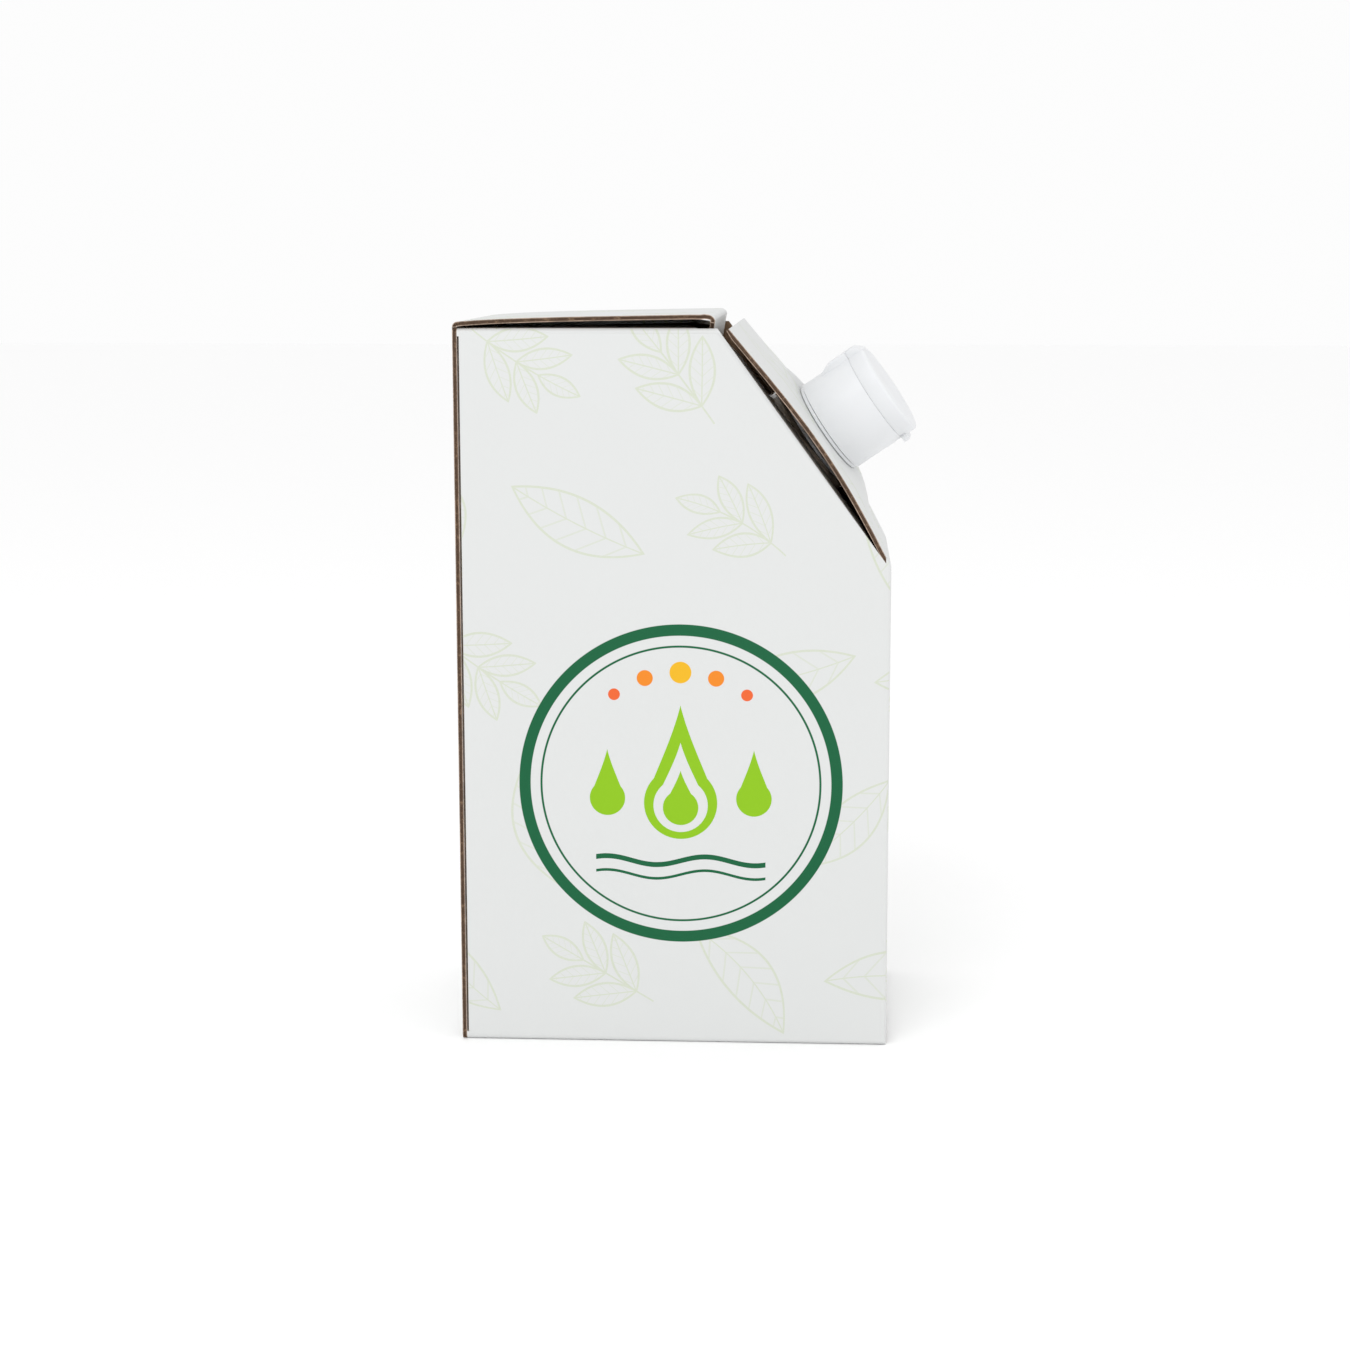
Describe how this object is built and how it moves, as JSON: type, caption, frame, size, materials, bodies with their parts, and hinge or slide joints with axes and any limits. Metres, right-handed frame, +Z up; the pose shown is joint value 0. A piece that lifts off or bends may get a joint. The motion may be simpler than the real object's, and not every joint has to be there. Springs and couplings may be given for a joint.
{
  "type": "disposable beverage box",
  "caption": "Upright corrugated drinks carton round a filled pouch, with a hinged top lid and a flip-top screw cap on its slanted front panel.",
  "frame": {"origin": "middle of the carton's base, on the surface that it stands on", "axes": "+Z up, +X from the back panel towards the spout, +Y across to the far side panel"},
  "size_m": [0.1933, 0.115, 0.3101],
  "materials": {
    "board": "white-lined corrugated board, kraft inside",
    "film": "clear layered film over the drink",
    "moulding": "white moulded plastic, soft satin",
    "seal": "soft foam ring"
  },
  "bodies": {
    "carton": {"carton_body": "board", "inner_bag": "film", "spout": "moulding"},
    "lid": {"top_lid": "board"},
    "seal": {"cap_seal": "seal"},
    "cap": {"screw_cap": "moulding"},
    "cap_lid": {"flip_lid": "moulding"}
  },
  "joints": [
    {"name": "lid_hinge", "type": "hinge", "parent": "carton", "child": "lid", "pos_m": [-0.091, 0, 0.30445], "axis": [0, -1, 0], "range_deg": [0, 110]},
    {"name": "cap_lift", "type": "slide", "parent": "carton", "child": "seal", "axis": [0.8206, -0.0958, 0.5634], "range_m": [0, 0.00526]},
    {"name": "cap_turn", "type": "hinge", "parent": "seal", "child": "cap", "pos_m": [0.06372, 0, 0.25952], "axis": [0.8206, -0.0958, 0.5634], "range_deg": [0, 450]},
    {"name": "flip_hinge", "type": "hinge", "parent": "cap", "child": "cap_lid", "pos_m": [0.07153, -0.0025, 0.2929], "axis": [-0.0776, -0.9954, -0.0563], "range_deg": [0, 150]}
  ],
  "couplings": [
    {"joint": "cap_lift", "follows": "cap_turn", "m_per_rad": 0.00066845}
  ]
}
